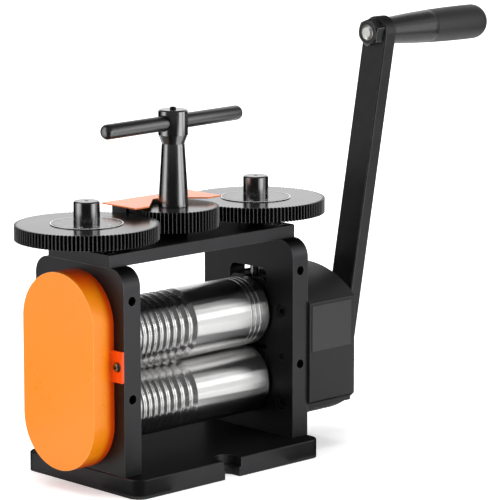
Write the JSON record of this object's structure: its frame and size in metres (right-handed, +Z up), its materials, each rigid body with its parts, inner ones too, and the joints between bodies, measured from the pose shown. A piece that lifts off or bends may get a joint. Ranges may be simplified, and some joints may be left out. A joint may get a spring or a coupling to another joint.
{
  "type": "jewellers rolling mill",
  "caption": "Hand cranked jewellers' rolling mill: two geared steel rolls with wire grooves between side plates, a T-handle with dial gears that sets the gap, and a reduction gearbox.",
  "frame": {"origin": "middle of the underside of the base plate", "axes": "+X along the rolls towards the crank, -Y towards the operator, +Z up"},
  "size_m": [0.3615, 0.1078, 0.2807],
  "materials": {
    "black_steel": "black satin oxide",
    "hard_roll": "polished hardened steel",
    "dark_gear": "blackened steel",
    "bright_steel": "plain steel",
    "bronze": "sintered bronze",
    "cover_paint": "orange enamel",
    "dial_metal": "dark anodised with pale lines",
    "shield_metal": "orange coated sheet",
    "grip_plastic": "black moulded",
    "label_film": "bare dark label"
  },
  "bodies": {
    "frame": {"base_plate": "black_steel", "base_screws": "dark_gear", "left_side_plate": "black_steel", "right_side_plate": "black_steel", "top_plate": "black_steel", "top_plate_screws": "dark_gear", "lower_left_bearing": "black_steel", "lower_right_bearing": "black_steel", "lower_bushes": "bronze", "lower_thrust_washers": "bronze", "gear_cover": "cover_paint", "gear_cover_screws": "bright_steel", "gearbox_housing": "black_steel", "gearbox_screws": "dark_gear", "gearbox_dowels": "bright_steel", "label_plate": "label_film", "lay_pin": "bright_steel", "centre_pivot": "bright_steel", "guard_block": "black_steel", "guard_screws": "dark_gear", "shield_plate": "shield_metal"},
    "carriage": {"upper_left_bearing": "black_steel", "upper_right_bearing": "black_steel", "upper_bushes": "bronze", "upper_thrust_washers": "bronze"},
    "upper_roll": {"upper_roll": "hard_roll", "upper_timing_gear": "bright_steel", "upper_roll_clip": "bright_steel", "upper_roll_key": "bright_steel"},
    "lower_roll": {"lower_roll": "hard_roll", "lower_timing_gear": "bright_steel", "lower_roll_clips": "bright_steel", "lower_roll_keys": "bright_steel", "output_gear": "bright_steel"},
    "left_adjuster": {"left_adjusting_screw": "dark_gear", "left_dial_gear": "dark_gear", "left_dial_disc": "dial_metal"},
    "right_adjuster": {"right_adjusting_screw": "dark_gear", "right_dial_gear": "dark_gear", "right_dial_disc": "dial_metal"},
    "handle": {"centre_gear": "dark_gear", "handle_stem": "black_steel", "handle_bar": "black_steel", "handle_set_screw": "dark_gear"},
    "layshaft": {"lay_pinion": "bright_steel", "lay_gear": "bright_steel"},
    "crank": {"crank_shaft": "bright_steel", "crank_pinion": "bright_steel", "crank_arm": "black_steel", "crank_screw": "bright_steel", "grip_bolt": "bright_steel", "grip_nut": "bright_steel"},
    "grip": {"grip": "grip_plastic"}
  },
  "joints": [
    {"name": "carriage_lift", "type": "slide", "parent": "frame", "child": "carriage", "axis": [0, 0, 1], "range_m": [-0.0005, 0.004]},
    {"name": "upper_roll_spin", "type": "hinge", "parent": "carriage", "child": "upper_roll", "pos_m": [0, 0, 0.0912], "axis": [1, 0, 0], "continuous": true},
    {"name": "lower_roll_spin", "type": "hinge", "parent": "frame", "child": "lower_roll", "pos_m": [0, 0, 0.046], "axis": [1, 0, 0], "continuous": true},
    {"name": "left_screw_turn", "type": "hinge", "parent": "carriage", "child": "left_adjuster", "pos_m": [-0.072, 0, 0.16], "axis": [0, 0, 1], "range_deg": [-120.5, 960.5]},
    {"name": "right_screw_turn", "type": "hinge", "parent": "carriage", "child": "right_adjuster", "pos_m": [0.072, 0, 0.16], "axis": [0, 0, 1], "range_deg": [-120.5, 960.5]},
    {"name": "handle_turn", "type": "hinge", "parent": "frame", "child": "handle", "pos_m": [0, 0, 0.16], "axis": [0, 0, 1], "range_deg": [-1509, 189]},
    {"name": "layshaft_spin", "type": "hinge", "parent": "frame", "child": "layshaft", "pos_m": [0.09, 0, 0.076], "axis": [1, 0, 0], "continuous": true},
    {"name": "crank_turn", "type": "hinge", "parent": "frame", "child": "crank", "pos_m": [0.14, 0, 0.046], "axis": [1, 0, 0], "continuous": true},
    {"name": "grip_spin", "type": "hinge", "parent": "crank", "child": "grip", "pos_m": [0.2, -0.03836, 0.26923], "axis": [1, 0, 0], "continuous": true}
  ],
  "couplings": [
    {"joint": "handle_turn", "follows": "carriage_lift", "rad_per_m": -6582.4},
    {"joint": "left_screw_turn", "follows": "carriage_lift", "rad_per_m": 4188.8},
    {"joint": "right_screw_turn", "follows": "carriage_lift", "rad_per_m": 4188.8},
    {"joint": "layshaft_spin", "follows": "crank_turn", "ratio": -0.33333},
    {"joint": "lower_roll_spin", "follows": "crank_turn", "ratio": 0.16667},
    {"joint": "upper_roll_spin", "follows": "crank_turn", "ratio": -0.16667}
  ]
}
